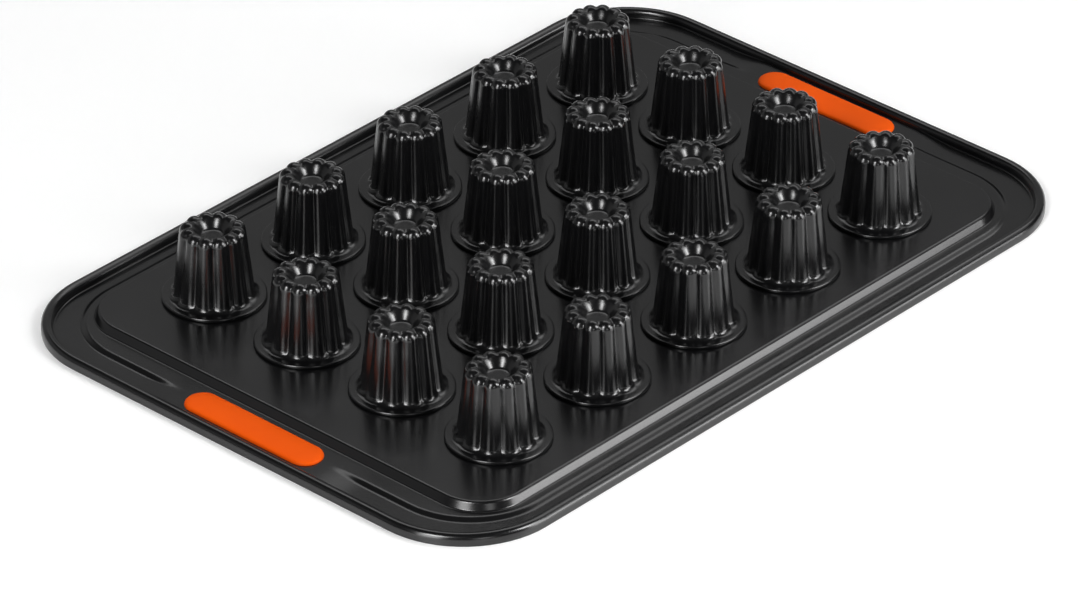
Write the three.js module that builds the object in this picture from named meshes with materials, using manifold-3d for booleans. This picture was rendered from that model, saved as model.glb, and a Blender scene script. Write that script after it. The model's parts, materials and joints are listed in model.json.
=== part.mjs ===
// Mini canele pan: a pressed steel tray with twenty fluted cups and two silicone grips.
// It stands mouths down, as on a cooling rack: the cups rise along +Z, the flange lies on z = 0,
// X is the long way and the origin is the middle of the resting plane. Millimetres throughout.

import * as THREE from 'three';
import { mergeVertices } from 'three/addons/utils/BufferGeometryUtils.js';
import Module from 'manifold-3d';

const wasm = await Module();
wasm.setup();

// Cup pattern and the tray that surrounds it
const cupsAlong = 5;
const cupsAcross = 4;
const pitchAlong = 61.5;
const pitchAcross = 55.5;
const endMargin = 77;
const sideMargin = 55.25;
const trayLength = (cupsAlong - 1) * pitchAlong + 2 * endMargin;
const trayWidth = (cupsAcross - 1) * pitchAcross + 2 * sideMargin;
const trayCorner = 46;
const sheet = 0.8;

// Rolled rim: a full curl of the sheet, joined to the flange by a tight bend
const rollRadius = 2.6;
const rimBend = 0.5;
const curlEnd = 290;
const curlThroat = 30;
const rimWidth = 2 * rollRadius + rimBend;

// Silicone grip in a slot of the end land
const gripLength = 76;
const gripWidth = 15.8;
const gripRimGap = 2.3;
const gripStepGap = 3.0;
const gripEdge = 1.2;
const gripCrown = 0.6;
const gripCrownInset = 1.8;
const gripOverlap = 2.4;
const gripLip = 1.5;
const gripLipThickness = 0.85;
const gripClearance = 0.3;
const gripSeatGap = 0.1;
const bayMargin = 9.0;
const bayRamp = 3.0;

// Pressed levels, given as the height of the upper face above the resting plane
const landRise = 1.3;
const deckRise = 3.7;
const landHeight = sheet + landRise;
const deckHeight = landHeight + deckRise;

// Where each level starts, measured in from the rim at the ends and along the sides
const landSlope = 2.6;
const deckSlope = 2.4;
const deckRound = 0.55;
const landCorner = 36;
const deckCorner = 20.5;
const landInset = { end: 18.8, side: 14.2 };
const deckInset = { end: rimWidth + gripRimGap + gripWidth + gripStepGap + deckSlope, side: 20.4 };

// Fluted cup, with heights above the deck
const flutes = 12;
const cupWall = 1.0;
const crestWall = 1.15;
const fluteDepth = 1.5;
const cupHeight = 35.2;
const footRadius = 17.9;
const footHeight = 1.6;
const shoulderRadius = 14.8;
const shoulderRound = 2.9;
const crestRadius = shoulderRadius - shoulderRound;
const crestNotch = 0.8;
const dishRadius = 5.2;
const dishDepth = 5.0;
const dishCrown = 0.4;

// Collar, neck and swaged lip that hold a cup in its hole
const collarReach = 5.0;
const collarChamfer = 0.4;
const collarThickness = 1.15;
const neckReach = 0.7;
const neckClearance = 0.3;
const seatGap = 0.05;
const lipReach = 1.6;
const lipThickness = 0.7;
const collarRadius = footRadius + collarReach;
const neckRadius = footRadius + neckReach;

// Facet counts
const cornerSteps = 6;
const roundSteps = 16;
const stadiumSteps = 7;

const degree = Math.PI / 180;

// A loft through closed rings, from the first ring over the outside to the last.
// Rings run counter-clockwise seen from above. A ring of one point closes the body there,
// and a first or last ring of many points is capped flat.
function loft(rings) {
  const points = rings.flat();
  const starts = [];
  rings.reduce((start, ring) => starts.push(start) && start + ring.length, 0);
  const triangles = [];
  for (let i = 0; i + 1 < rings.length; i += 1) {
    triangles.push(...band(rings[i], starts[i], rings[i + 1], starts[i + 1]));
  }
  const last = rings.length - 1;
  triangles.push(...cap(rings[0], starts[0], false), ...cap(rings[last], starts[last], true));
  const geometry = new THREE.BufferGeometry();
  geometry.setAttribute('position', new THREE.Float32BufferAttribute(points.flatMap((p) => p.toArray()), 3));
  geometry.setIndex(triangles.flat());
  return geometry;
}

function cap(ring, start, turned) {
  const faces = [];
  for (let k = 1; k + 1 < ring.length; k += 1) {
    faces.push(turned ? [start, start + k + 1, start + k] : [start, start + k, start + k + 1]);
  }
  return faces;
}

// The triangles between two rings: by order where their counts agree, else by angle about the Z axis.
function band(a, startA, b, startB) {
  const faces = [];
  const at = (ring, start, k) => start + (k % ring.length);
  const matched = a.length === b.length;
  const place = (ring, k) => (matched ? k : turn(ring[k % ring.length]) + (k < ring.length ? 0 : 360));
  let i = 0;
  let j = 0;
  const endA = a.length > 1 ? a.length : 0;
  const endB = b.length > 1 ? b.length : 0;
  while (i < endA || j < endB) {
    const stepB = i >= endA || (j < endB && place(b, j + 1) <= place(a, i + 1));
    if (stepB) {
      faces.push([at(a, startA, i), at(b, startB, j), at(b, startB, j + 1)]);
      j += 1;
    } else {
      faces.push([at(a, startA, i), at(b, startB, j), at(a, startA, i + 1)]);
      i += 1;
    }
  }
  return faces;
}

function turn(point) {
  const angle = Math.atan2(point.y, point.x) / degree;
  return angle < -1e-6 ? angle + 360 : Math.max(angle, 0);
}

// Points of a flat outline lifted to a height, started at the lowest angle.
function ringFrom(outline, height) {
  const ring = outline.map((p) => new THREE.Vector3(p.x, p.y, height));
  const first = ring.reduce((best, p, k) => (turn(p) < turn(ring[best]) ? k : best), 0);
  return [...ring.slice(first), ...ring.slice(0, first)];
}

// A closed solid for cutting, from any geometry with its vertices merged.
function solid(geometry) {
  const bare = geometry.clone();
  bare.deleteAttribute('normal');
  bare.deleteAttribute('uv');
  const merged = mergeVertices(bare, 1e-5);
  return new wasm.Manifold(new wasm.Mesh({
    numProp: 3,
    vertProperties: Float32Array.from(merged.getAttribute('position').array),
    triVerts: Uint32Array.from(merged.getIndex().array),
  }));
}

function geometryOf(body) {
  const mesh = body.getMesh();
  const geometry = new THREE.BufferGeometry();
  geometry.setAttribute('position', new THREE.BufferAttribute(mesh.vertProperties, 3));
  geometry.setIndex(new THREE.BufferAttribute(mesh.triVerts, 1));
  return geometry;
}

// Tray: one sheet, lofted from the deck out over the levels and the curl and back underneath.

function trayOutline(inset, corner) {
  const outline = [];
  for (const [sideX, sideY, start] of [[1, 1, 0], [-1, 1, 90], [-1, -1, 180], [1, -1, 270]]) {
    const centreX = sideX * (trayLength / 2 - inset.end - corner);
    const centreY = sideY * (trayWidth / 2 - inset.side - corner);
    const arc = [start * degree, (start + 90) * degree];
    outline.push(...new THREE.EllipseCurve(centreX, centreY, corner, corner, ...arc).getPoints(cornerSteps));
  }
  return outline;
}

function trayRing(inset, corner, height) {
  return ringFrom(trayOutline(inset, corner), height);
}

// The step from flange to land, which swings out to the rim at each grip: the grip lies on the land.
function bayRing(inset, corner, bayInset, halfBay, height) {
  const outline = trayOutline(inset, corner);
  const halfMouth = halfBay + bayRamp;
  const bay = (side) => [
    [inset.end, -halfMouth],
    [bayInset, -halfBay],
    [bayInset, halfBay],
    [inset.end, halfMouth],
  ].map(([x, y]) => new THREE.Vector2(side * (trayLength / 2 - x), side * y));
  const perCorner = cornerSteps + 1;
  outline.splice(2 * perCorner, 0, ...bay(-1));
  outline.push(...bay(1));
  return ringFrom(outline, height);
}

function evenInset(inset) {
  return { end: inset, side: inset };
}

function grown(inset, by) {
  return { end: inset.end + by, side: inset.side + by };
}

function rimRing(inset, height) {
  return trayRing(evenInset(inset), trayCorner - inset, height);
}

// Angles from one bearing to another in equal steps, both ends included.
function sweep(from, to, steps) {
  return Array.from({ length: steps + 1 }, (_, k) => from + ((to - from) * k) / steps);
}

function curlRings(radius, angles) {
  return angles.map((angle) => rimRing(
    rollRadius + radius * Math.cos(angle * degree),
    rollRadius + radius * Math.sin(angle * degree),
  ));
}

function bendRings(radius, angles) {
  return angles.map((angle) => rimRing(
    rimWidth - radius * Math.cos(angle * degree),
    sheet + rimBend - radius * Math.sin(angle * degree),
  ));
}

function traySheet() {
  const bayInset = rimWidth + bayRamp / 2;
  const bayFoot = bayInset - landSlope / 2;
  const halfBay = gripLength / 2 + bayMargin;
  const skew = sheet / 2;
  const landUnder = grown(landInset, skew);
  const deckUnder = grown(deckInset, skew);
  return loft([
    trayRing(deckInset, deckCorner, deckHeight),
    trayRing(grown(deckInset, -deckSlope / 2), deckCorner + deckSlope / 2, deckHeight - deckRound),
    trayRing(grown(deckInset, -deckSlope), deckCorner + deckSlope, landHeight),
    bayRing(landInset, landCorner, bayInset, halfBay, landHeight),
    bayRing(grown(landInset, -landSlope), landCorner + landSlope, bayFoot, halfBay + landSlope, sheet),
    ...bendRings(rimBend, sweep(90, 45, 1)),
    ...curlRings(rollRadius, sweep(0, 180, 4)),
    ...curlRings(rollRadius, sweep(180, curlEnd, 2).slice(1)),
    ...curlRings(rollRadius - sheet, sweep(curlEnd, curlThroat, 4)),
    ...bendRings(rimBend + sheet, sweep(45, 90, 1)),
    bayRing(grown(landUnder, -landSlope), landCorner + landSlope, bayFoot + skew, halfBay + landSlope, 0),
    bayRing(landUnder, landCorner, bayInset + skew, halfBay, landHeight - sheet),
    trayRing(grown(deckUnder, -deckSlope), deckCorner + deckSlope, landHeight - sheet),
    trayRing(deckUnder, deckCorner, deckHeight - sheet),
  ]);
}

function stadium(length, width) {
  const radius = width / 2;
  const reach = length / 2 - radius;
  const ends = [[reach, 0], [-reach, 180]].map(([y, start]) => new THREE.EllipseCurve(
    0, y, radius, radius, start * degree, (start + 180) * degree,
  ));
  return ends.flatMap((arc) => arc.getPoints(stadiumSteps));
}

function through(outline) {
  const depth = 4 * deckHeight;
  const plug = new THREE.ExtrudeGeometry(new THREE.Shape(outline), { depth, bevelEnabled: false });
  return plug.translate(0, 0, -depth / 2);
}

function circle(count, radius) {
  return Array.from({ length: count }, (_, k) => new THREE.Vector2(radius, 0)
    .rotateAround(new THREE.Vector2(), (k * 2 * Math.PI) / count));
}

const cupPlaces = [];
for (let row = 0; row < cupsAcross; row += 1) {
  for (let column = 0; column < cupsAlong; column += 1) {
    cupPlaces.push({
      name: `cup_row${row + 1}_${column + 1}`,
      x: (column - (cupsAlong - 1) / 2) * pitchAlong,
      y: (row - (cupsAcross - 1) / 2) * pitchAcross,
    });
  }
}

const gripPlaces = [
  { name: 'grip_left', side: -1 },
  { name: 'grip_right', side: 1 },
];
const gripOffset = trayLength / 2 - rimWidth - gripRimGap - gripWidth / 2;
const slotLength = gripLength - 2 * gripOverlap;
const slotWidth = gripWidth - 2 * gripOverlap;

function tray() {
  const hole = through(circle(roundSteps, neckRadius + neckClearance));
  const slot = through(stadium(slotLength, slotWidth));
  let body = solid(traySheet());
  for (const place of cupPlaces) {
    body = body.subtract(solid(hole.clone().translate(place.x, place.y, 0)));
  }
  for (const place of gripPlaces) {
    body = body.subtract(solid(slot.clone().translate(place.side * gripOffset, 0, 0)));
  }
  return geometryOf(body);
}

// Cup: drawn from one blank, so the flutes show inside and out.

// How far into a groove an angle lies: 0 on the crown of a flute, 1 at the bottom of a groove.
function groove(angle) {
  return Math.abs(Math.sin((flutes / 2) * angle)) ** 3;
}

function flutedRing(perFlute, radius, depth, height, notch = 0) {
  const count = flutes * perFlute;
  const offset = perFlute % 2 === 1 ? Math.PI / count : 0;
  return Array.from({ length: count }, (_, k) => {
    const angle = offset + (k * 2 * Math.PI) / count;
    const reach = radius - depth * groove(angle);
    const level = height - notch * groove(angle);
    return new THREE.Vector3(reach * Math.cos(angle), reach * Math.sin(angle), level);
  });
}

function roundRing(count, radius, height) {
  return ringFrom(circle(count, radius), height);
}

function cup() {
  const axisPoint = (height) => [new THREE.Vector3(0, 0, height)];
  const shoulderHeight = cupHeight - shoulderRound;
  const dishHeight = cupHeight - dishDepth;
  const underDeck = -sheet - seatGap;
  const mouthHeight = underDeck - lipThickness;
  const taper = (footRadius - shoulderRadius) / (shoulderHeight - footHeight);
  const mouthRadius = footRadius - cupWall + taper * footHeight;
  return loft([
    axisPoint(dishHeight - dishCrown),
    roundRing(flutes, dishRadius, dishHeight),
    flutedRing(3, crestRadius, crestNotch, cupHeight, crestNotch),
    flutedRing(3, shoulderRadius, fluteDepth, shoulderHeight),
    flutedRing(3, footRadius, fluteDepth, footHeight),
    roundRing(roundSteps, collarRadius - collarChamfer, seatGap + collarThickness),
    roundRing(roundSteps, collarRadius, seatGap),
    roundRing(roundSteps, neckRadius, seatGap),
    roundRing(roundSteps, neckRadius, underDeck),
    roundRing(roundSteps, neckRadius + lipReach, underDeck),
    flutedRing(2, mouthRadius, fluteDepth, mouthHeight),
    flutedRing(2, shoulderRadius - cupWall, fluteDepth, shoulderHeight - cupWall / 2),
    flutedRing(2, crestRadius - cupWall / 4, crestNotch, cupHeight - crestWall, crestNotch),
    roundRing(flutes, dishRadius + cupWall / 2, dishHeight - cupWall),
    axisPoint(dishHeight - dishCrown - cupWall),
  ]);
}

// Grip: one moulding whose groove takes the edge of the slot.

function grip() {
  const ring = (length, width, height) => ringFrom(stadium(length, width), height);
  const outer = (inset, height) => ring(gripLength - 2 * inset, gripWidth - 2 * inset, height);
  const inSlot = (by, height) => ring(slotLength + 2 * by, slotWidth + 2 * by, height);
  const under = -sheet - gripSeatGap;
  return loft([
    outer(gripCrownInset, gripEdge + gripCrown),
    outer(0, gripEdge),
    outer(0, gripSeatGap),
    inSlot(-gripClearance, gripSeatGap),
    inSlot(-gripClearance, under),
    inSlot(gripLip, under),
    inSlot(gripLip, under - gripLipThickness),
  ]);
}

// Finishes

const coatedSteel = new THREE.MeshStandardMaterial({ color: 0x1b1b1c, roughness: 0.32, metalness: 0.0 });
const coatedCup = new THREE.MeshStandardMaterial({ color: 0x161617, roughness: 0.28, metalness: 0.0 });
const orangeSilicone = new THREE.MeshStandardMaterial({ color: 0xea5806, roughness: 0.55, metalness: 0.0 });

// Assembly

const pan = new THREE.Group();

function place(geometry, material, name, x, y, z) {
  const mesh = new THREE.Mesh(geometry, material);
  mesh.name = name;
  mesh.position.set(x, y, z);
  pan.add(mesh);
}

place(tray(), coatedSteel, 'tray_sheet', 0, 0, 0);

const cupGeometry = cup();
for (const { name, x, y } of cupPlaces) {
  place(cupGeometry, coatedCup, name, x, y, deckHeight);
}

const gripGeometry = grip();
for (const { name, side } of gripPlaces) {
  place(gripGeometry, orangeSilicone, name, side * gripOffset, 0, landHeight);
}

export default pan;
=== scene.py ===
"""Studio scene of a mini canele pan lying mouths down on a pale floor.

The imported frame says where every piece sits. This script models the fine surface of each piece over it:
the pressed tray with its rolled rim, the fluted cups and the silicone grips. It then dresses the pieces in
procedural finishes and sets up the camera, the floor and the light.
Sizes in the classes are millimetres, and the meshes are in metres.
"""

import json
import logging
import math
from collections.abc import Iterable
from dataclasses import dataclass
from enum import Enum

import bmesh
import bpy
from mathutils import Matrix, Vector

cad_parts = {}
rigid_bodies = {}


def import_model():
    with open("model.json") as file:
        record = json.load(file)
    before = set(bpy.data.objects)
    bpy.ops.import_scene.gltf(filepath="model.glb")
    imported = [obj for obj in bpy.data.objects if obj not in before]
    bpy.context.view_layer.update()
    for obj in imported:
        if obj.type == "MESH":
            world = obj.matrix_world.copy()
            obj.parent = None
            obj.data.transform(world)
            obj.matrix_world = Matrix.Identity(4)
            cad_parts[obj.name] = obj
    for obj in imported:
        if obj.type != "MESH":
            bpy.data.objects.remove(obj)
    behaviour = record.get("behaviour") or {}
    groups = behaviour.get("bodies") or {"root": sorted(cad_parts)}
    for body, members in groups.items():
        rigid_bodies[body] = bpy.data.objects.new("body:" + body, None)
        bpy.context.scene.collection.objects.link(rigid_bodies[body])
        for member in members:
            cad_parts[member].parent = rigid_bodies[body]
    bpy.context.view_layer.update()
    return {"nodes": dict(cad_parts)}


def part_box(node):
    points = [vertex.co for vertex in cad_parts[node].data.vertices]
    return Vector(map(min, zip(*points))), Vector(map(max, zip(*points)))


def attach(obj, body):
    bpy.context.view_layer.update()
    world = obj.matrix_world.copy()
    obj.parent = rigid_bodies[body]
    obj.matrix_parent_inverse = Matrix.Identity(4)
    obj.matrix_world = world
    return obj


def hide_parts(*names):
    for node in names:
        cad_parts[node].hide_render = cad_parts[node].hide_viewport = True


LOG = logging.getLogger("canele_pan")
MM = 0.001
# Points closer than this are merged, points this close along an end form one row, and moves of flute points
# that agree to this many digits are made together.
MERGE_MM = 0.004
ROW_MM = 0.01
MOVE_DIGITS = 9


class Node(Enum):
    """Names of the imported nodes, or how they start where there are many."""

    TRAY = "tray_sheet"
    CUP = "cup_row"
    GRIP = "grip_"


class Slot(Enum):
    """Material slots of the record."""

    TRAY = "tray_coating"
    CUP = "cup_coating"
    GRIP = "grip_silicone"


# Bench tools


def sweep(start: float, end: float, steps: int) -> list[float]:
    """Evenly spaced values from one to another, with both ends."""
    return [start + (end - start) * k / steps for k in range(steps + 1)]


def arc(start: float, end: float, steps: int) -> list[tuple[float, float]]:
    """The cosine and sine at evenly spaced angles, given in degrees."""
    turns = [math.radians(angle) for angle in sweep(start, end, steps)]
    return [(math.cos(turn), math.sin(turn)) for turn in turns]


def smoothstep(share: float) -> float:
    """Eases a share in at 0 and out at 1."""
    return share * share * (3.0 - 2.0 * share)


def clear_selection() -> None:
    """Leaves no object selected, so that an operator reaches only what comes next."""
    bpy.ops.object.select_all(action="DESELECT")


def sole_selection(piece: bpy.types.Object) -> None:
    """Selects one piece and makes it active.

    Args:
        piece: The piece that the next operators work on.
    """
    clear_selection()
    piece.select_set(True)
    bpy.context.view_layer.objects.active = piece


def christen(name: str) -> bpy.types.Object:
    """Names the active object and its mesh.

    Args:
        name: The piece's name.

    Returns:
        The active object.
    """
    piece = bpy.context.object
    piece.name = name
    piece.data.name = name
    return piece


def apply_modifier(piece: bpy.types.Object, kind: str, **settings: object) -> None:
    """Adds a modifier with its settings and applies it.

    Args:
        piece: The piece to change.
        kind: Blender's name of the modifier type.
        settings: Values of the modifier's own properties.
    """
    sole_selection(piece)
    modifier = piece.modifiers.new(kind.title(), kind)
    for key, value in settings.items():
        setattr(modifier, key, value)
    bpy.ops.object.modifier_apply(modifier=modifier.name)


class EditMode:
    """A piece held in edit mode, with its points at hand to be selected by place."""

    def __init__(self, piece: bpy.types.Object) -> None:
        """Keeps the piece that is to be edited."""
        self.piece = piece

    def __enter__(self) -> "EditMode":
        """Opens edit mode with vertices selectable.

        Returns:
            The open edit mode.
        """
        sole_selection(self.piece)
        bpy.ops.object.mode_set(mode="EDIT")
        bpy.ops.mesh.select_mode(type="VERT")
        self.mesh = bmesh.from_edit_mesh(self.piece.data)
        return self

    def __exit__(self, *error: object) -> None:
        """Goes back to object mode."""
        bpy.ops.object.mode_set(mode="OBJECT")

    def pick(self, chosen: Iterable[bmesh.types.BMVert]) -> None:
        """Selects these vertices and the edges and faces between them, and nothing else.

        Args:
            chosen: The vertices to select.
        """
        bpy.ops.mesh.select_all(action="DESELECT")
        for vertex in chosen:
            vertex.select_set(True)
        self.mesh.select_flush(True)

    def picked(self) -> list[bmesh.types.BMVert]:
        """The vertices that are selected now."""
        return [vertex for vertex in self.mesh.verts if vertex.select]

    def pick_open_edges(self) -> None:
        """Selects each edge that has fewer than two faces."""
        bpy.ops.mesh.select_all(action="DESELECT")
        bpy.ops.mesh.select_mode(type="EDGE")
        for edge in self.mesh.edges:
            if len(edge.link_faces) < 2:
                edge.select_set(True)

    def close_up(self) -> None:
        """Merges doubles and points every face outwards."""
        bpy.ops.mesh.select_mode(type="VERT")
        bpy.ops.mesh.select_all(action="SELECT")
        bpy.ops.mesh.remove_doubles(threshold=MERGE_MM * MM)
        bpy.ops.mesh.normals_make_consistent(inside=False)
        if self.mesh.calc_volume(signed=True) < 0.0:
            bpy.ops.mesh.flip_normals()


def smooth_by_angle(piece: bpy.types.Object, degrees: float) -> None:
    """Shades a piece smooth, with edges sharper than an angle kept crisp."""
    sole_selection(piece)
    bpy.ops.object.shade_smooth_by_angle(angle=math.radians(degrees))


# Finishes


def linear(hex_colour: str) -> tuple[float, float, float, float]:
    """Turns an sRGB hex colour into linear values.

    Args:
        hex_colour: A colour such as "#1b1b1c".

    Returns:
        Linear red, green and blue, and an alpha of 1.
    """
    channels = [int(hex_colour[k : k + 2], 16) / 255 for k in (1, 3, 5)]
    return (*[c / 12.92 if c <= 0.04045 else ((c + 0.055) / 1.055) ** 2.4 for c in channels], 1.0)


def add_node(
    tree: bpy.types.NodeTree, kind: str, inputs: dict[str | int, object] | None = None, **settings: object
) -> bpy.types.Node:
    """Adds a node, with its settings, its input values and the links to its inputs.

    Args:
        tree: The tree that gets the node.
        kind: Blender's name of the node type.
        inputs: For each input's name or number, a value, or a socket to link from.
        settings: Values of the node's own properties.

    Returns:
        The new node.
    """
    made = tree.nodes.new(kind)
    for key, value in settings.items():
        setattr(made, key, value)
    for key, value in (inputs or {}).items():
        if isinstance(value, bpy.types.NodeSocket):
            tree.links.new(value, made.inputs[key])
        else:
            made.inputs[key].default_value = value
    return made


def per_metre(size_mm: float) -> float:
    """The noise scale whose features are about this many millimetres wide."""
    return 1.0 / (size_mm * MM)


def bare_material(name: str) -> tuple[bpy.types.Material, bpy.types.NodeTree]:
    """Makes a material with an empty node tree.

    Args:
        name: The material's name.

    Returns:
        The material and its tree.
    """
    material = bpy.data.materials.new(name)
    material.use_nodes = True
    material.node_tree.nodes.clear()
    return material, material.node_tree


def dress(piece: bpy.types.Object, material: bpy.types.Material) -> None:
    """Gives a piece one material all over."""
    piece.data.materials.clear()
    piece.data.materials.append(material)


@dataclass(frozen=True)
class SprayedNonStick:
    """Non-stick coat, sprayed on steel and cured.

    The clear binder on top of a near black ground gives the eye a soft grey sheen on the flats and bright
    glints on the curves, and the faint orange peel of the cured film softens the edges of reflections.
    """

    name: str
    colour: str = "#070708"
    haze_colour: str = "#0b0b0c"
    roughness: float = 0.22
    roughness_spread: float = 0.04
    index: float = 1.6
    peel_mm: float = 1.4
    peel_depth_mm: float = 0.006
    cloud_mm: float = 42.0
    cloud_low: float = 0.3
    cloud_high: float = 0.7

    def material(self) -> bpy.types.Material:
        """Builds the coat.

        Returns:
            The material.
        """
        material, tree = bare_material(self.name)
        place = add_node(tree, "ShaderNodeTexCoord").outputs["Object"]
        cloud = add_node(
            tree, "ShaderNodeTexNoise", {"Vector": place, "Scale": per_metre(self.cloud_mm), "Detail": 3.0}
        ).outputs["Fac"]
        peel = add_node(
            tree, "ShaderNodeTexNoise", {"Vector": place, "Scale": per_metre(self.peel_mm), "Detail": 1.0}
        ).outputs["Fac"]
        tint = add_node(
            tree,
            "ShaderNodeMix",
            {"Factor": cloud, "A": linear(self.colour), "B": linear(self.haze_colour)},
            data_type="RGBA",
        )
        gloss = add_node(
            tree,
            "ShaderNodeMapRange",
            {
                "Value": cloud,
                "From Min": self.cloud_low,
                "From Max": self.cloud_high,
                "To Min": self.roughness - self.roughness_spread / 2,
                "To Max": self.roughness + self.roughness_spread / 2,
            },
        )
        bump = add_node(
            tree, "ShaderNodeBump", {"Height": peel, "Strength": 1.0, "Distance": self.peel_depth_mm * MM}
        )
        coat = add_node(
            tree,
            "ShaderNodeBsdfPrincipled",
            {
                "Base Color": tint.outputs["Result"],
                "Roughness": gloss.outputs["Result"],
                "Normal": bump.outputs["Normal"],
                "IOR": self.index,
            },
        )
        add_node(tree, "ShaderNodeOutputMaterial", {"Surface": coat.outputs["BSDF"]})
        return material


@dataclass(frozen=True)
class MouldedSilicone:
    """Pigmented silicone rubber from a lightly blasted mould.

    The blasted mould leaves a fine grain, which gives the eye an even satin surface with soft, wide
    highlights and full colour.
    """

    name: str
    colour: str = "#ea5806"
    deep_colour: str = "#e25004"
    roughness: float = 0.5
    index: float = 1.41
    sheen_level: float = 0.1
    grain_mm: float = 0.7
    grain_depth_mm: float = 0.012
    cloud_mm: float = 14.0

    def material(self) -> bpy.types.Material:
        """Builds the silicone.

        Returns:
            The material.
        """
        material, tree = bare_material(self.name)
        place = add_node(tree, "ShaderNodeTexCoord").outputs["Object"]
        cloud = add_node(
            tree, "ShaderNodeTexNoise", {"Vector": place, "Scale": per_metre(self.cloud_mm), "Detail": 2.0}
        ).outputs["Fac"]
        grain = add_node(
            tree, "ShaderNodeTexNoise", {"Vector": place, "Scale": per_metre(self.grain_mm), "Detail": 2.0}
        ).outputs["Fac"]
        tint = add_node(
            tree,
            "ShaderNodeMix",
            {"Factor": cloud, "A": linear(self.colour), "B": linear(self.deep_colour)},
            data_type="RGBA",
        )
        bump = add_node(
            tree, "ShaderNodeBump", {"Height": grain, "Strength": 1.0, "Distance": self.grain_depth_mm * MM}
        )
        rubber = add_node(
            tree,
            "ShaderNodeBsdfPrincipled",
            {
                "Base Color": tint.outputs["Result"],
                "Roughness": self.roughness,
                "Normal": bump.outputs["Normal"],
                "IOR": self.index,
                "Specular IOR Level": self.sheen_level,
            },
        )
        add_node(tree, "ShaderNodeOutputMaterial", {"Surface": rubber.outputs["BSDF"]})
        return material


@dataclass(frozen=True)
class CastAcrylic:
    """White cast acrylic sheet of the floor.

    It gives the eye an even pale ground with a faint mirror image of the pan. A little glow, which only the
    camera and reflections see, brings the ground to white and leaves the shadow on it.
    """

    name: str
    colour: str = "#f4f4f4"
    roughness: float = 0.3
    glow: float = 0.15

    def material(self) -> bpy.types.Material:
        """Builds the acrylic.

        Returns:
            The material.
        """
        material, tree = bare_material(self.name)
        sheet = add_node(
            tree,
            "ShaderNodeBsdfPrincipled",
            {"Base Color": linear(self.colour), "Roughness": self.roughness},
        )
        rays = add_node(tree, "ShaderNodeLightPath").outputs
        seen = rays["Is Camera Ray"]
        for kind in ("Is Glossy Ray", "Is Transmission Ray"):
            seen = add_node(
                tree, "ShaderNodeMath", {0: seen, 1: rays[kind]}, operation="MAXIMUM"
            ).outputs["Value"]
        strength = add_node(tree, "ShaderNodeMath", {0: seen, 1: self.glow}, operation="MULTIPLY")
        glow = add_node(tree, "ShaderNodeEmission", {"Strength": strength.outputs["Value"]})
        both = add_node(
            tree, "ShaderNodeAddShader", {0: sheet.outputs["BSDF"], 1: glow.outputs["Emission"]}
        )
        add_node(tree, "ShaderNodeOutputMaterial", {"Surface": both.outputs["Shader"]})
        return material


# Places in the frame


@dataclass(frozen=True)
class Places:
    """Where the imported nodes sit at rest.

    Attributes:
        names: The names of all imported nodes.
    """

    names: tuple[str, ...]

    def like(self, start: Node) -> list[str]:
        """The nodes whose names start in one way."""
        return [name for name in self.names if name.startswith(start.value)]

    def middle(self, name: str) -> Vector:
        """The middle of a node's box, in metres."""
        low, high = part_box(name)
        return (low + high) / 2

    def half(self, name: str) -> Vector:
        """Half the extents of a node's box, in millimetres."""
        low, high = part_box(name)
        return (high - low) / (2 * MM)


def settle(piece: bpy.types.Object, shift: Vector) -> None:
    """Moves a piece to its place and puts the move into its mesh.

    Args:
        piece: The piece, at the origin.
        shift: The move in metres.
    """
    sole_selection(piece)
    bpy.ops.transform.translate(value=shift)
    bpy.ops.object.transform_apply(location=True, rotation=False, scale=False)


# Lofted sheets: the tray and the grips


@dataclass(frozen=True)
class Loop:
    """A rounded rectangle at one height, with the lift that a bay gives the middle of its ends.

    Attributes:
        half_x: Half its extent along X.
        half_y: Half its extent along Y.
        corner: Radius of its corners.
        height: Height above the floor.
        bay: How far the middle of each end lies higher.
    """

    half_x: float
    half_y: float
    corner: float
    height: float
    bay: float = 0.0


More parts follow.
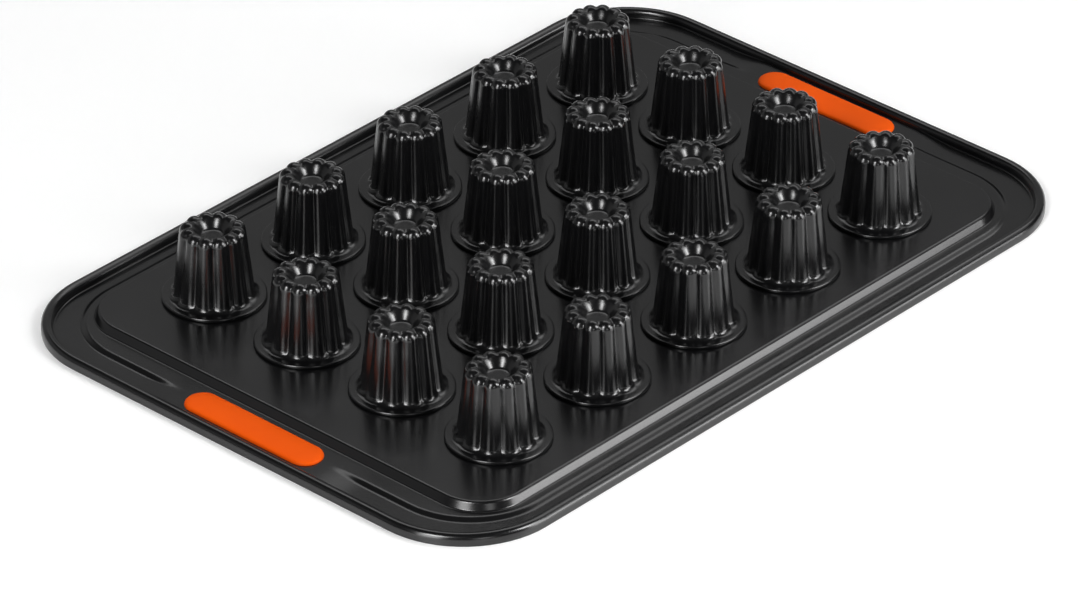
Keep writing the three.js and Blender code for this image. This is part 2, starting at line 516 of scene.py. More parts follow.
@dataclass
class LoftedPiece:
    """A closed piece drawn through rounded loops, from its top face over its edge to its underside.

    Attributes:
        places: The places of the nodes.
        corner_segments: Edges of each rounded corner.
        end_segments: Edges of each straight end.
        bay_half: Half the length of a bay's level part.
        bay_ramp: Length of the ramp on either side of it.
        bay_shares: Shares of an end's points between which the level part, the ramp and the rest lie.
        bridge_lift: How far off a loop is kept while it is bridged, so that no two loops coincide.
    """

    places: Places
    corner_segments: int = 16
    end_segments: int = 1
    bay_half: float = 0.0
    bay_ramp: float = 1.0
    bay_shares: tuple[float, ...] = (0.0, 0.3, 0.75, 1.0)
    bridge_lift: float = 50.0

    def add_loop(self, edit: EditMode, loop: Loop, lift: float) -> list[bmesh.types.BMVert]:
        """Adds one loop to the mesh being edited, and leaves it selected.

        Args:
            edit: The piece in edit mode.
            loop: The loop to add.
            lift: How far above its place the loop is added, in millimetres.

        Returns:
            The loop's points.
        """
        height = (loop.height + lift) * MM
        bpy.ops.mesh.select_mode(type="VERT")
        bpy.ops.mesh.primitive_plane_add(size=2.0, location=(0.0, 0.0, height))
        bpy.ops.transform.resize(
            value=(loop.half_x * MM, loop.half_y * MM, 1.0), center_override=(0.0, 0.0, height)
        )
        bpy.ops.mesh.bevel(
            offset=loop.corner * MM, offset_type="OFFSET", segments=self.corner_segments, affect="VERTICES"
        )
        ring = edit.picked()
        bpy.ops.mesh.delete(type="ONLY_FACE")
        edit.pick(ring)
        if self.end_segments > 1:
            self.divide_ends(edit, loop)
        return edit.picked()

    def divide_ends(self, edit: EditMode, loop: Loop) -> None:
        """Cuts the two straight ends of the selected loop into short edges, and shapes the bays.

        Args:
            edit: The piece in edit mode.
            loop: The loop that is selected.
        """
        outermost = (loop.half_x - ROW_MM) * MM
        edit.pick([vertex for vertex in edit.picked() if abs(vertex.co.x) > outermost])
        bpy.ops.mesh.subdivide(number_cuts=self.end_segments - 1)
        ranks: dict[int, list[bmesh.types.BMVert]] = {}
        for vertex in edit.picked():
            ranks.setdefault(round(abs(vertex.co.y) / (ROW_MM * MM)), []).append(vertex)
        for rank, row in ranks.items():
            self.shape_bay(edit, loop, rank * ROW_MM, row)
        bpy.ops.mesh.select_linked()

    def shape_bay(
        self, edit: EditMode, loop: Loop, place: float, row: list[bmesh.types.BMVert]
    ) -> None:
        """Draws one row of points close to the sides of the bays, and up with the bays.

        Args:
            edit: The piece in edit mode.
            loop: The loop that is being shaped.
            place: How far from the middle of its end the row lies.
            row: The points at that place, on both ends and both sides.
        """
        straight = loop.half_y - loop.corner
        edges = (0.0, self.bay_half, self.bay_half + self.bay_ramp, straight)
        shares = self.bay_shares
        share = place / straight
        part = sum(share >= mark for mark in shares[1:-1])
        within = (share - shares[part]) / (shares[part + 1] - shares[part])
        moved = edges[part] + (edges[part + 1] - edges[part]) * within
        ramp = min(max((self.bay_half + self.bay_ramp - moved) / self.bay_ramp, 0.0), 1.0)
        lift = loop.bay * smoothstep(ramp)
        edit.pick(row)
        bpy.ops.transform.resize(value=(1.0, moved / place, 1.0), center_override=(0.0, 0.0, 0.0))
        if lift:
            bpy.ops.transform.translate(value=(0.0, 0.0, lift * MM))

    def loft(self, name: str, loops: list[Loop]) -> bpy.types.Object:
        """Bridges the loops in order into one closed piece.

        Args:
            name: The piece's name.
            loops: The loops, from the top face to the underside.

        Returns:
            The piece, with its middle on the Z axis.
        """
        clear_selection()
        bpy.ops.mesh.primitive_plane_add(size=2.0)
        piece = christen(name)
        with EditMode(piece) as edit:
            bpy.ops.mesh.delete(type="VERT")
            self.add_loop(edit, loops[0], lift=0.0)
            bpy.ops.mesh.edge_face_add()
            for loop in loops[1:]:
                ring = self.add_loop(edit, loop, lift=self.bridge_lift)
                edit.pick_open_edges()
                bpy.ops.mesh.bridge_edge_loops()
                edit.pick(ring)
                bpy.ops.transform.translate(value=(0.0, 0.0, -self.bridge_lift * MM))
            edit.pick_open_edges()
            bpy.ops.mesh.edge_face_add()
            edit.close_up()
        return piece


@dataclass
class Tray(LoftedPiece):
    """The pressed sheet: deck, rounded shoulder, land, step, flange, rolled rim and the hem below it."""

    # Bays, and how much of their lift is left at the top of the bend
    end_segments: int = 61
    bay_half: float = 42.0
    bay_ramp: float = 22.0
    bay_wall_share: float = 0.55
    # Sheet, roll of the rim and the hem below it
    sheet: float = 0.8
    corner: float = 46.0
    roll: float = 2.6
    hem_round: float = 0.35
    hem_reach: float = 2.6
    hem_inside: float = 0.3
    bend_start: float = 5.7
    # Heights above the floor
    land_height: float = 2.1
    deck_height: float = 5.8
    # Where the land and the deck start, in from the rim at the ends and along the sides
    land_corner: float = 36.0
    deck_corner: float = 20.5
    land_end: float = 19.2
    land_side: float = 14.6
    deck_end: float = 30.4
    deck_side: float = 20.9
    # Radii and slope between deck and land, and the width of the step
    shoulder: float = 1.6
    foot: float = 1.0
    steep: float = 63.0
    step: float = 3.4
    # Flat strips that keep the shading of the flats level
    deck_margin: float = 3.0
    deck_ease: float = 0.3
    land_ease: float = 0.4
    step_ease: float = 0.15
    flange_ease: float = 0.2
    # Edges along the curves
    shoulder_steps: int = 6
    foot_steps: int = 5
    step_steps: int = 8
    bend_steps: int = 5
    roll_steps: int = 14
    inside_steps: int = 10
    hem_steps: int = 4
    crisp_angle: float = 32.0
    # Holes and slots
    hole: float = 18.9
    hole_segments: int = 72
    slot_overlap: float = 2.4
    slot_segments: int = 12
    slot_round: float = 0.99
    punch_height: float = 23.2

    @property
    def half(self) -> Vector:
        """Half the tray's length, width and height, from the frame."""
        return self.places.half(Node.TRAY.value)

    def inset(self, end: float, side: float, corner: float, height: float, bay: float = 0.0) -> Loop:
        """A loop given by how far it lies in from the rim at the ends and along the sides."""
        return Loop(self.half.x - end, self.half.y - side, corner, height, bay)

    def rim_loop(self, inset: float, height: float, bay: float = 0.0) -> Loop:
        """A loop that lies evenly in from the rim."""
        return self.inset(inset, inset, self.corner - inset, height, bay)

    def deck_loop(self, inset: float, height: float) -> Loop:
        """A loop about the deck's edge, given by its distance in from where the deck starts."""
        return self.inset(self.deck_end + inset, self.deck_side + inset, self.deck_corner - inset, height)

    def step_loop(self, share: float, drop: float, fall: float) -> Loop:
        """A loop along the step, which the bays lift back to the land.

        Args:
            share: Where it lies across the step, from 0 at the land to 1 at the flange.
            drop: How far its face lies below the upper one.
            fall: How far the loop lies below the land.

        Returns:
            The loop.
        """
        inset = drop / 2 - self.step * share
        end, side, corner = self.land_end + inset, self.land_side + inset, self.land_corner - inset
        return self.inset(end, side, corner, self.land_height - drop - fall, fall)

    def shoulder_loops(self, drop: float) -> list[Loop]:
        """The steep shoulder from deck to land, on one face of the sheet.

        Args:
            drop: How far the face lies below the upper one, square to the sheet.

        Returns:
            The loops, from the deck outwards.
        """
        radius = self.shoulder - drop
        foot = self.foot + drop
        steep = math.radians(self.steep)
        fall = self.deck_height - self.land_height - (self.shoulder + self.foot) * (1 - math.cos(steep))
        reach = (self.shoulder + self.foot) * math.sin(steep) + fall / math.tan(steep)
        margins = (self.deck_margin, self.deck_ease)
        loops = [self.deck_loop(inset, self.deck_height - drop) for inset in margins]
        for cos, sin in arc(0.0, self.steep, self.shoulder_steps):
            loops.append(self.deck_loop(-radius * sin, self.deck_height - self.shoulder + radius * cos))
        for cos, sin in arc(self.steep, 0.0, self.foot_steps):
            loops.append(self.deck_loop(foot * sin - reach, self.land_height + self.foot - foot * cos))
        loops.append(self.deck_loop(-reach - self.land_ease, self.land_height - drop))
        return loops

    def step_loops(self, drop: float) -> list[Loop]:
        """The eased step from land to flange, on one face of the sheet.

        Args:
            drop: How far the face lies below the upper one.

        Returns:
            The loops, from the land outwards.
        """
        rise = self.land_height - self.sheet
        loops = [self.step_loop(-self.step_ease, drop, 0.0)]
        for share in sweep(0.0, 1.0, self.step_steps):
            loops.append(self.step_loop(share, drop, rise * smoothstep(share)))
        loops.append(self.step_loop(1.0 + self.step_ease, drop, rise))
        return loops

    def rim_loops(self) -> list[Loop]:
        """The bend, the roll and the hem that turns in below it, out over the upper face and back inside.

        Returns:
            The loops, from the flange's upper face round to its underside.
        """
        level = self.sheet - self.roll
        reach = self.bend_start - self.roll
        bend = (reach * reach + level * level - self.roll * self.roll) / (2 * (self.roll - level))
        centre = self.sheet + bend
        lean = math.degrees(math.atan2(centre - self.roll, reach))
        rise = self.land_height - self.sheet

        def bend_loop(radius: float, angle: float) -> Loop:
            """One loop of the bend, which a bay lifts less the higher it lies.

            Args:
                radius: Radius of the face.
                angle: Place round the bend, from 90 degrees at the flange.

            Returns:
                The loop.
            """
            turn = math.radians(angle)
            share = self.bay_wall_share + (1 - self.bay_wall_share) * (angle - lean) / (90.0 - lean)
            height = centre - radius * math.sin(turn)
            return self.rim_loop(self.bend_start - radius * math.cos(turn), height, rise * share)

        def roll_loop(radius: float, angle: float) -> Loop:
            """One loop of the roll, given by the radius of its face and its angle in degrees."""
            turn = math.radians(angle)
            return self.rim_loop(self.roll + radius * math.cos(turn), self.roll + radius * math.sin(turn))

        inside = self.roll - self.sheet
        flange = self.bend_start + self.flange_ease
        loops = [self.rim_loop(flange, self.sheet, rise)]
        loops += [bend_loop(bend, angle) for angle in sweep(90.0, lean, self.bend_steps)]
        loops += [roll_loop(self.roll, angle) for angle in sweep(lean, 180.0, self.roll_steps)[1:]]
        loops += self.hem_loops()
        loops += [roll_loop(inside, angle) for angle in sweep(180.0, lean, self.inside_steps)]
        loops += [bend_loop(bend + self.sheet, angle) for angle in sweep(lean, 90.0, self.bend_steps)[1:]]
        loops.append(self.rim_loop(flange, 0.0, rise))
        return loops

    def hem_loops(self) -> list[Loop]:
        """The hem that stands on the floor: down the outside, in below, round its end and back.

        Returns:
            The loops, from the outer face to the inner one.
        """
        loops = []
        for cos, sin in arc(0.0, 90.0, self.hem_steps):
            loops.append(self.rim_loop(self.hem_round * (1 - cos), self.hem_round * (1 - sin)))
        half = self.sheet / 2
        for cos, sin in arc(-90.0, 90.0, self.hem_steps):
            loops.append(self.rim_loop(self.hem_reach - half + half * cos, half + half * sin))
        loops.append(self.rim_loop(self.sheet + self.hem_inside, self.sheet))
        loops.append(self.rim_loop(self.sheet, self.sheet + self.hem_inside))
        return loops

    def model(self) -> bpy.types.Object:
        """Lofts the sheet and cuts its holes and slots.

        Returns:
            The tray.
        """
        over = self.shoulder_loops(0.0) + self.step_loops(0.0)
        under = self.shoulder_loops(self.sheet) + self.step_loops(self.sheet)
        tray = self.loft("tray_pressed_sheet", over + self.rim_loops() + under[::-1])
        cutter = self.cutter()
        apply_modifier(tray, "BOOLEAN", object=cutter, operation="DIFFERENCE", solver="EXACT")
        bpy.data.objects.remove(cutter)
        smooth_by_angle(tray, self.crisp_angle)
        return tray

    def cutter(self) -> bpy.types.Object:
        """Makes the punch for the cup holes and the grip slots.

        Returns:
            One object with a plug for each hole and slot.
        """
        clear_selection()
        depth = self.punch_height * MM
        bpy.ops.mesh.primitive_cylinder_add(vertices=4, radius=MM, depth=depth)
        punch = christen("punch")
        with EditMode(punch):
            bpy.ops.mesh.delete(type="VERT")
            for name in self.places.like(Node.CUP):
                middle = self.places.middle(name)
                bpy.ops.mesh.primitive_cylinder_add(
                    vertices=self.hole_segments,
                    radius=self.hole * MM,
                    depth=depth,
                    location=(middle.x, middle.y, 0.0),
                )
            for name in self.places.like(Node.GRIP):
                self.add_slot_plug(name, depth)
        return punch

    def add_slot_plug(self, name: str, depth: float) -> None:
        """Adds the plug of one grip's slot to the punch.

        Args:
            name: The grip's node.
            depth: The plug's height in metres.
        """
        half_x = (self.places.half(name).x - self.slot_overlap) * MM
        half_y = (self.places.half(name).y - self.slot_overlap) * MM
        middle = self.places.middle(name)
        bpy.ops.mesh.primitive_plane_add(size=2.0, location=(middle.x, middle.y, -depth / 2))
        bpy.ops.transform.resize(
            value=(half_x, half_y, 1.0), center_override=(middle.x, middle.y, -depth / 2)
        )
        rounding = self.slot_round * half_x
        bpy.ops.mesh.bevel(
            offset=rounding, offset_type="OFFSET", segments=self.slot_segments, affect="VERTICES"
        )
        bpy.ops.mesh.extrude_region_move(TRANSFORM_OT_translate={"value": (0.0, 0.0, depth)})
        bpy.ops.mesh.select_linked()
        bpy.ops.mesh.normals_make_consistent(inside=False)


@dataclass
class Grip(LoftedPiece):
    """A silicone grip: a low crowned stadium whose groove takes the edge of its slot."""

    corner_segments: int = 14
    land_height: float = 2.1
    crown: float = 1.85
    edge: float = 1.35
    seat_gap: float = 0.1
    sheet: float = 0.8
    overlap: float = 2.4
    clearance: float = 0.3
    lip: float = 1.5
    lip_thickness: float = 0.85
    # Half the width of the crown's level part, and what the crown keeps above its edge
    crown_half: float = 1.2
    crown_ease: float = 0.12
    crown_steps: int = 6
    # Round of the edge, and the small chamfers below it
    edge_tilt: float = 78.0
    edge_steps: int = 6
    chamfer: float = 0.06
    lip_chamfer: float = 0.1
    lip_round: float = 0.3
    end_round: float = 0.995
    crisp_angle: float = 40.0

    def loops(self, half_x: float, half_y: float) -> list[Loop]:
        """The loops of one grip.

        Args:
            half_x: Half its width.
            half_y: Half its length.

        Returns:
            The loops, from the crown to the bottom of the lower lip.
        """

        def loop(inset: float, height: float) -> Loop:
            """One loop of the grip, given by its inset and its height above the land."""
            radius = self.end_round * (half_x - inset)
            return Loop(half_x - inset, half_y - inset, radius, self.land_height + height)

        span = half_x - self.crown_half
        drop = self.crown - self.edge - self.crown_ease
        loops = []
        for share in sweep(0.0, 1.0, self.crown_steps)[:-1]:
            loops.append(loop(span + (self.edge - span) * share, self.crown - drop * share * share))
        for cos, sin in arc(self.edge_tilt, 0.0, self.edge_steps):
            loops.append(loop(self.edge * (1 - cos), self.edge * sin))
        loops += [loop(0.0, self.seat_gap + self.chamfer), loop(self.chamfer, self.seat_gap)]
        under = -self.sheet - self.seat_gap
        bottom = under - self.lip_thickness
        groove = self.overlap + self.clearance
        lip = self.overlap - self.lip
        loops += [loop(groove, self.seat_gap), loop(groove, under), loop(lip + self.lip_chamfer, under)]
        loops += [loop(lip, under - self.lip_chamfer), loop(lip, bottom + self.lip_round)]
        loops.append(loop(lip + self.lip_round, bottom))
        return loops

    def model(self, name: str) -> bpy.types.Object:
        """Lofts one grip at its node's place.

        Args:
            name: The node that the grip stands for.

        Returns:
            The grip.
        """
        half = self.places.half(name)
        middle = self.places.middle(name)
        grip = self.loft(f"{name}_moulded", self.loops(half.x, half.y))
        smooth_by_angle(grip, self.crisp_angle)
        settle(grip, Vector((middle.x, middle.y, 0.0)))
        return grip


# Cups


@dataclass(frozen=True)
class Ring:
    """One ring of a cup's profile.

    Attributes:
        radius: Radius on the crown of a flute.
        height: Height above the deck on the crown of a flute.
        groove: How much less the radius is at the bottom of a groove.
        notch: How much lower the ring is at the bottom of a groove.
    """

    radius: float
    height: float
    groove: float = 0.0
    notch: float = 0.0


@dataclass
class Cup:
    """A drawn cup: collar on the deck, fluted wall, rounded shoulder, scalloped crest and dished top."""

    # Flutes, points across each, and the share of a flute where the round of its groove starts
    flutes: int = 12
    columns: int = 14
    valley_start: float = 0.88
    # Seat in the deck
    deck_height: float = 5.8
    sheet: float = 0.8
    wall: float = 1.0
    seat_gap: float = 0.05
    neck: float = 18.6
    lip: float = 20.2
    lip_thickness: float = 0.7
    lip_chamfer: float = 0.1
    lip_ease: float = 0.4
    # Collar
    collar: float = 22.9
    collar_thickness: float = 1.7
    collar_edge: float = 0.55
    collar_foot: float = 0.2
    collar_ease: float = 0.4
    # Wall, shoulder and crest, with the depths of their grooves
    fillet: float = 2.4
    foot: float = 17.75
    top: float = 14.7
    height: float = 35.2
    shoulder: float = 4.0
    crest: float = 3.4
    groove: float = 1.5
    crest_groove: float = 1.1
    # Dish, with the shares of its flat where rings lie
    slope: float = 50.0
    dish_depth: float = 5.0
    dish_fillet: float = 2.0
    dish_marks: tuple[float, ...] = (0.7, 0.35)
    # Mouth inside
    mouth_gain: float = 0.5
    mouth_round: float = 0.9
    mouth_rise: float = 4.0
    # Edges along the profile
    collar_steps: int = 5
    fillet_steps: int = 6
    mouth_steps: int = 4
    wall_steps: int = 6
    shoulder_steps: int = 8
    crest_steps: int = 5
    slope_steps: int = 2
    dish_steps: int = 5
    crisp_angle: float = 50.0

    def outer_rings(self) -> list[Ring]:
        """The outside, from the lip's upper edge to the middle of the dish.

        Returns:
            The rings in order.
        """
        under = -self.sheet - self.seat_gap
        level = self.seat_gap + self.collar_thickness
        rings = [Ring(self.lip - self.lip_chamfer, under - self.lip_chamfer)]
        rings += [Ring(self.lip - self.lip_ease, under), Ring(self.neck, under)]
        rings.append(Ring(self.neck, self.seat_gap))
        rings.append(Ring(self.collar - self.collar_foot, self.seat_gap))
        rings.append(Ring(self.collar, self.seat_gap + self.collar_foot))
        edge = self.collar_edge
        for cos, sin in arc(0.0, 90.0, self.collar_steps):
            rings.append(Ring(self.collar - edge * (1 - cos), level - edge * (1 - sin)))
        rings.append(Ring(self.foot + self.fillet + self.collar_ease, level))
        rings += self.round_rings(self.foot, level, self.fillet, self.fillet_steps)
        return rings + self.wall_rings(level + self.fillet, 0.0)

    def round_rings(self, radius: float, level: float, fillet: float, steps: int) -> list[Ring]:
        """The round from a level face up into the wall, along which the flutes set in.

        Args:
            radius: Radius of the wall on the crown of a flute.
            level: Height of the level face.
            fillet: Radius of the round.
            steps: Edges along the round.

        Returns:
            The rings, from the level face to the wall.
        """
        rings = []
        for share in sweep(0.0, 1.0, steps):
            turn = math.radians(270.0 - 90.0 * share)
            across = radius + fillet * (1 + math.cos(turn))
            rings.append(Ring(across, level + fillet * (1 + math.sin(turn)), self.groove * share))
        return rings

    def inner_rings(self) -> list[Ring]:
        """The inside, from the lip's lower edge through the mouth to the middle of the dish.

        Returns:
            The rings in order.
        """
        bottom = -self.sheet - self.seat_gap - self.lip_thickness
        mouth = self.foot - self.wall + self.mouth_gain
        rings = [Ring(self.lip - self.lip_chamfer, bottom + self.lip_chamfer)]
        rings.append(Ring(self.lip - self.lip_ease, bottom))
        rings += self.round_rings(mouth, bottom, self.mouth_round, self.mouth_steps)
        return rings + self.wall_rings(bottom + self.mouth_rise, self.wall)

    def wall_rings(self, start: float, inwards: float) -> list[Ring]:
        """The fluted wall, shoulder, crest and dish on one face of the sheet.

        Args:
            start: Height where the wall starts.
            inwards: Distance of the face inside the outer one.

        Returns:
            The rings, up the wall and in to the axis.
        """
        shoulder = self.shoulder - inwards
        crest = self.crest - inwards
        middle = self.top - self.shoulder
        turn = self.height - self.shoulder
        base = self.seat_gap + self.collar_thickness + self.fillet
        taper = (self.foot - self.top) / (turn - base)
        rings = []
        for level in sweep(start, turn, self.wall_steps)[1:-1]:
            rings.append(Ring(self.foot - inwards - taper * (level - base), level, self.groove))
        for share in sweep(0.0, 1.0, self.shoulder_steps):
            angle = math.radians(90.0 * share)
            # The flutes have their depth at the crest from halfway round the shoulder on.
            depth = self.groove + (self.crest_groove - self.groove) * min(2 * share, 1.0)
            rings.append(
                Ring(
                    middle + shoulder * math.cos(angle),
                    turn + shoulder * math.sin(angle),
                    depth * math.cos(angle),
                    depth * math.sin(angle),
                )
            )
        for share in sweep(0.0, 1.0, self.crest_steps)[1:]:
            lean = math.radians(self.slope * share)
            depth = self.crest_groove * (1 - share)
            rings.append(
                Ring(
                    middle - crest * math.sin(lean),
                    self.height - self.crest + crest * math.cos(lean),
                    -depth * math.sin(lean),
                    depth * math.cos(lean),
                )
            )
        return rings + self.dish_rings(rings[-1], inwards)

    def dish_rings(self, edge: Ring, inwards: float) -> list[Ring]:
        """The plain slope from the crest down to the flat of the dish.

        Args:
            edge: The last ring of the crest.
            inwards: Distance of the face inside the outer one.

        Returns:
            The rings, ending close to the axis.
        """
        slope = math.radians(self.slope)
        fillet = self.dish_fillet + inwards
        floor = self.height - self.dish_depth - inwards
        start = floor + fillet * (1 - math.cos(slope))
        fall = edge.height - start
        run = fall / math.tan(slope)
        rings = []
        for share in sweep(0.0, 1.0, self.slope_steps)[1:]:
            rings.append(Ring(edge.radius - run * share, edge.height - fall * share))
        flat = edge.radius - run - fillet * math.sin(slope)
        for cos, sin in arc(self.slope, 0.0, self.dish_steps)[1:]:
            rings.append(Ring(flat + fillet * sin, floor + fillet * (1 - cos)))
        return rings + [Ring(flat * mark, floor) for mark in self.dish_marks]

    def draw_rings(self, edit: EditMode, first: Ring, rings: list[Ring]) -> None:
        """Extrudes the selected ring through the others and closes the last one at the axis.

        Args:
            edit: The cup in edit mode, with the first ring selected.
            first: The ring that is selected.
            rings: The rings to follow.
        """
        before = first
        for ring in rings:
            bpy.ops.mesh.extrude_region_move(
                TRANSFORM_OT_translate={"value": (0.0, 0.0, (ring.height - before.height) * MM)}
            )
            self.shape_ring(edit, before, ring)
            before = ring
        bpy.ops.mesh.merge(type="CENTER")

    def shape_ring(self, edit: EditMode, before: Ring, ring: Ring) -> None:
        """Brings the selected ring to its radius, flute by flute.

        Args:
            edit: The cup in edit mode, with the new ring selected.
            before: The ring that it was extruded from.
            ring: The ring to shape.
        """
        whole = edit.picked()
        ranks: dict[int, list[bmesh.types.BMVert]] = {}
        for vertex in whole:
            ranks.setdefault(self.rank(vertex.co), []).append(vertex)
        moves: dict[tuple[float, float], list[bmesh.types.BMVert]] = {}
        for rank, row in ranks.items():
            depth = self.depth(rank)
            grow = (ring.radius - ring.groove * depth) / (before.radius - before.groove * depth)
            drop = (before.notch - ring.notch) * depth
            moves.setdefault((round(grow, MOVE_DIGITS), round(drop, MOVE_DIGITS)), []).extend(row)
        for (grow, drop), row in moves.items():
            edit.pick(row)
            bpy.ops.transform.resize(value=(grow, grow, 1.0), center_override=(0.0, 0.0, 0.0))
            if drop:
                bpy.ops.transform.translate(value=(0.0, 0.0, drop * MM))
        edit.pick(whole)

    def depth(self, rank: int) -> float:
        """How deep a column lies, as a share of the depth at the bottom of the groove.

        Args:
            rank: How many columns it is from the crown of its flute.

        Returns:
            The share: a round flute that ends in a small round at the bottom of the groove.
        """
        place = 2 * rank / self.columns
        over = max(place - self.valley_start, 0.0)
        flute = min(place, self.valley_start) ** 2 + 2 * self.valley_start * over
        ease = self.valley_start / (1 - self.valley_start)
        bottom = self.valley_start**2 + self.valley_start * (1 - self.valley_start)
        return (flute - ease * over * over) / bottom

    def rank(self, place: Vector) -> int:
        """How many columns a point is from the crown of its flute."""
        column = round(math.atan2(place.y, place.x) / math.tau * self.flutes * self.columns) % self.columns
        return min(column, self.columns - column)

    def model(self) -> bpy.types.Object:
        """Models one cup with its axis on Z and the deck's upper face at its height.

        Returns:
            The cup.
        """
        first = Ring(self.lip, -self.sheet - self.seat_gap - self.lip_thickness / 2)
        clear_selection()
        bpy.ops.mesh.primitive_circle_add(
            vertices=self.flutes * self.columns,
            radius=first.radius * MM,
            fill_type="NOTHING",
            location=(0.0, 0.0, 0.0),
        )
        cup = christen("cup_master")
        with EditMode(cup) as edit:
            bpy.ops.transform.translate(value=(0.0, 0.0, first.height * MM))
            start = edit.picked()
            self.draw_rings(edit, first, self.outer_rings())
            edit.pick(start)
            self.draw_rings(edit, first, self.inner_rings())
            edit.close_up()
        smooth_by_angle(cup, self.crisp_angle)
        return cup


# Studio


@dataclass(frozen=True)
class Softbox:
    """A softbox turned to the pan.

    Attributes:
        name: Its name.
        azimuth: Where it stands round the pan, in degrees from X towards Y.
        elevation: The angle of its middle above the floor, in degrees.
        width: Its width.
        height: Its height.
        radiance: How bright it looks, where white paper in the studio is 1.
        distance: Its distance from the pan.
    """

    name: str
    azimuth: float
    elevation: float
    width: float
    height: float
    radiance: float
    distance: float = 3000.0

    def hang(self) -> None:
        """Hangs the softbox."""
        data = bpy.data.lights.new(self.name, "AREA")
        data.shape = "RECTANGLE"
        data.size = self.width * MM
        data.size_y = self.height * MM
        data.energy = math.pi * data.size * data.size_y * self.radiance
        box = bpy.data.objects.new(self.name, data)
        turn = math.radians(self.azimuth)
        tilt = math.radians(self.elevation)
        toward = Vector((math.cos(turn) * math.cos(tilt), math.sin(turn) * math.cos(tilt), math.sin(tilt)))
        box.location = toward * self.distance * MM
        box.rotation_euler = toward.to_track_quat("Z", "Y").to_euler()
        bpy.context.collection.objects.link(box)


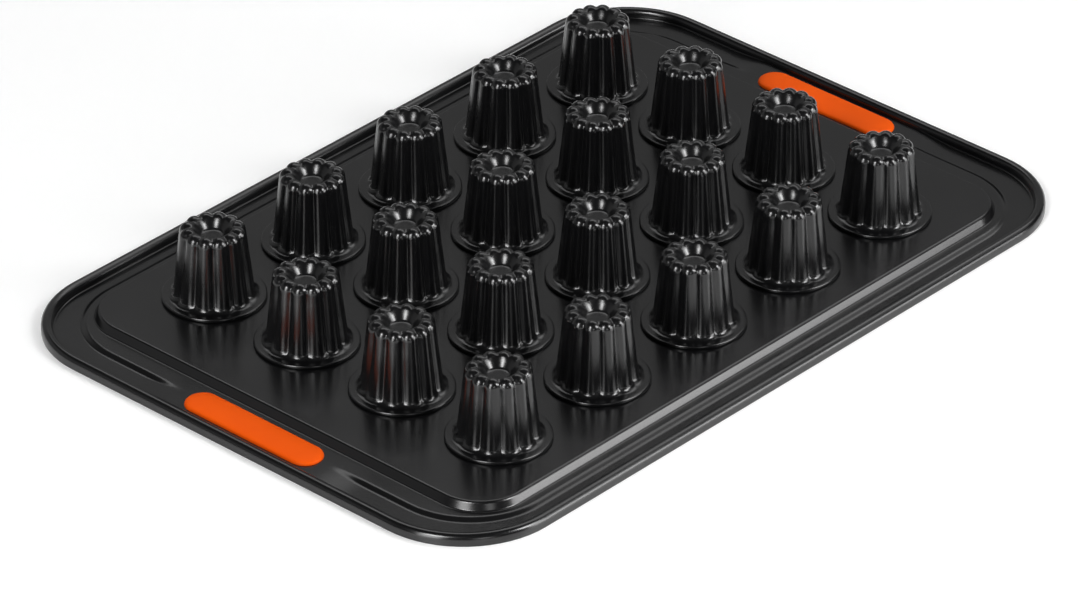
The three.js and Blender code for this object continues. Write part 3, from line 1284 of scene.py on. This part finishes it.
@dataclass
class Studio:
    """Camera at the portrait's viewing angle, pale floor, dim room and softboxes round the pan.

    The keys and strips draw the glints on crowns and walls, the panels the even sheen of the flats.

    Attributes:
        azimuth: The camera's angle round the pan, in degrees from the front towards the right.
        elevation: The camera's angle above the floor, in degrees.
        distance: The camera's distance from the pan.
        lens: Its focal length.
        sensor: Width of its sensor.
        view_limit: How far it sees, in metres.
        aim_right: How far right of the pan's middle it aims.
        aim_down: How far below the pan's middle it aims.
        floor_half: Half the extent of the floor.
        floor: The floor's finish.
        room_level: How bright the room itself is.
        softboxes: The lamps.
    """

    azimuth: float = -47.5657
    elevation: float = 31.5622
    distance: float = 3255.4
    lens: float = 249.74
    sensor: float = 36.0
    view_limit: float = 100.0
    aim_right: float = -4.304
    aim_down: float = 15.239
    floor_half: float = 6000.0
    floor: CastAcrylic = CastAcrylic("acrylic_cast_white")
    room_level: float = 0.05
    softboxes: tuple[Softbox, ...] = (
        Softbox("key_right", azimuth=287.0, elevation=38.0, width=620.0, height=840.0, radiance=12.0),
        Softbox("key_left", azimuth=190.0, elevation=42.0, width=620.0, height=840.0, radiance=12.0),
        Softbox("strip_right", azimuth=296.0, elevation=26.0, width=1080.0, height=2680.0, radiance=6.3),
        Softbox("strip_left", azimuth=190.0, elevation=26.0, width=1080.0, height=2680.0, radiance=6.3),
        Softbox("strip_low_right", azimuth=311.0, elevation=9.5, width=600.0, height=960.0, radiance=5.5),
        Softbox("strip_front", azimuth=240.0, elevation=18.0, width=680.0, height=1000.0, radiance=2.5),
        Softbox("panel_right", azimuth=345.0, elevation=42.0, width=1800.0, height=1000.0, radiance=0.8),
        Softbox("panel_back_top", azimuth=32.0, elevation=54.0, width=3000.0, height=1300.0, radiance=1.6),
        Softbox("panel_back", azimuth=40.0, elevation=19.0, width=4800.0, height=1960.0, radiance=0.22),
        Softbox("panel_left", azimuth=115.0, elevation=19.0, width=3800.0, height=1960.0, radiance=0.22),
    )

    def view_axes(self) -> Matrix:
        """Works out the camera's axes.

        Returns:
            A matrix whose columns are its right, up and backward directions.
        """
        turn = math.radians(self.azimuth)
        tilt = math.radians(self.elevation)
        back = Vector((math.sin(turn) * math.cos(tilt), -math.cos(turn) * math.cos(tilt), math.sin(tilt)))
        right = Vector((math.cos(turn), math.sin(turn), 0.0))
        return Matrix((right, back.cross(right), back)).transposed()

    def set_camera(self) -> None:
        """Places the camera and makes it the scene's own."""
        axes = self.view_axes()
        right, up, back = axes.col[0], axes.col[1], axes.col[2]
        aim = right * self.aim_right - up * self.aim_down
        data = bpy.data.cameras.new("portrait_camera")
        data.lens = self.lens
        data.sensor_width = self.sensor
        data.sensor_fit = "HORIZONTAL"
        data.clip_end = self.view_limit
        camera = bpy.data.objects.new("portrait_camera", data)
        camera.matrix_world = Matrix.Translation((aim + back * self.distance) * MM) @ axes.to_4x4()
        bpy.context.collection.objects.link(camera)
        bpy.context.scene.camera = camera

    def lay_floor(self) -> None:
        """Lays the pale floor."""
        clear_selection()
        bpy.ops.mesh.primitive_plane_add(size=2 * self.floor_half * MM)
        floor = christen("floor")
        dress(floor, self.floor.material())

    def light_room(self) -> None:
        """Fills the room with an even, dim light."""
        world = bpy.data.worlds.new("dim_room")
        world.use_nodes = True
        tree = world.node_tree
        tree.nodes.clear()
        room = add_node(
            tree, "ShaderNodeBackground", {"Color": (1.0, 1.0, 1.0, 1.0), "Strength": self.room_level}
        )
        add_node(tree, "ShaderNodeOutputWorld", {"Surface": room.outputs["Background"]})
        bpy.context.scene.world = world

    def set_up(self) -> None:
        """Sets up the whole studio."""
        bpy.context.scene.view_settings.view_transform = "Standard"
        self.set_camera()
        self.lay_floor()
        self.light_room()
        for softbox in self.softboxes:
            softbox.hang()


# Assembly


def enlist(piece: bpy.types.Object, node: str, material: bpy.types.Material) -> None:
    """Dresses a piece and puts it in a node's stead.

    Args:
        piece: The finished piece.
        node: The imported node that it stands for.
        material: Its finish.
    """
    dress(piece, material)
    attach(piece, "root")
    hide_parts(node)
    LOG.info("%s stands for %s with %d faces", piece.name, node, len(piece.data.polygons))


def build_cups(places: Places, material: bpy.types.Material) -> None:
    """Models one cup and sets a copy at each cup's place.

    Args:
        places: The places of the nodes.
        material: The finish of the cups.
    """
    cup = Cup()
    master = cup.model()
    for node in places.like(Node.CUP):
        sole_selection(master)
        bpy.ops.object.duplicate(linked=False)
        copy = christen(f"{node}_drawn")
        middle = places.middle(node)
        settle(copy, Vector((middle.x, middle.y, cup.deck_height * MM)))
        enlist(copy, node, material)
    bpy.data.objects.remove(master)


def main() -> None:
    """Builds the pan over its frame, dresses it and sets up the studio."""
    logging.basicConfig(level=logging.INFO, format="%(name)s: %(message)s")
    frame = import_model()
    places = Places(tuple(sorted(frame["nodes"])))
    Studio().set_up()
    tray = Tray(places).model()
    enlist(tray, Node.TRAY.value, SprayedNonStick("nonstick_sprayed_tray").material())
    build_cups(places, SprayedNonStick("nonstick_sprayed_cup").material())
    silicone = MouldedSilicone("silicone_moulded_orange").material()
    for node in places.like(Node.GRIP):
        enlist(Grip(places).model(node), node, silicone)


if __name__ == "__main__":
    main()
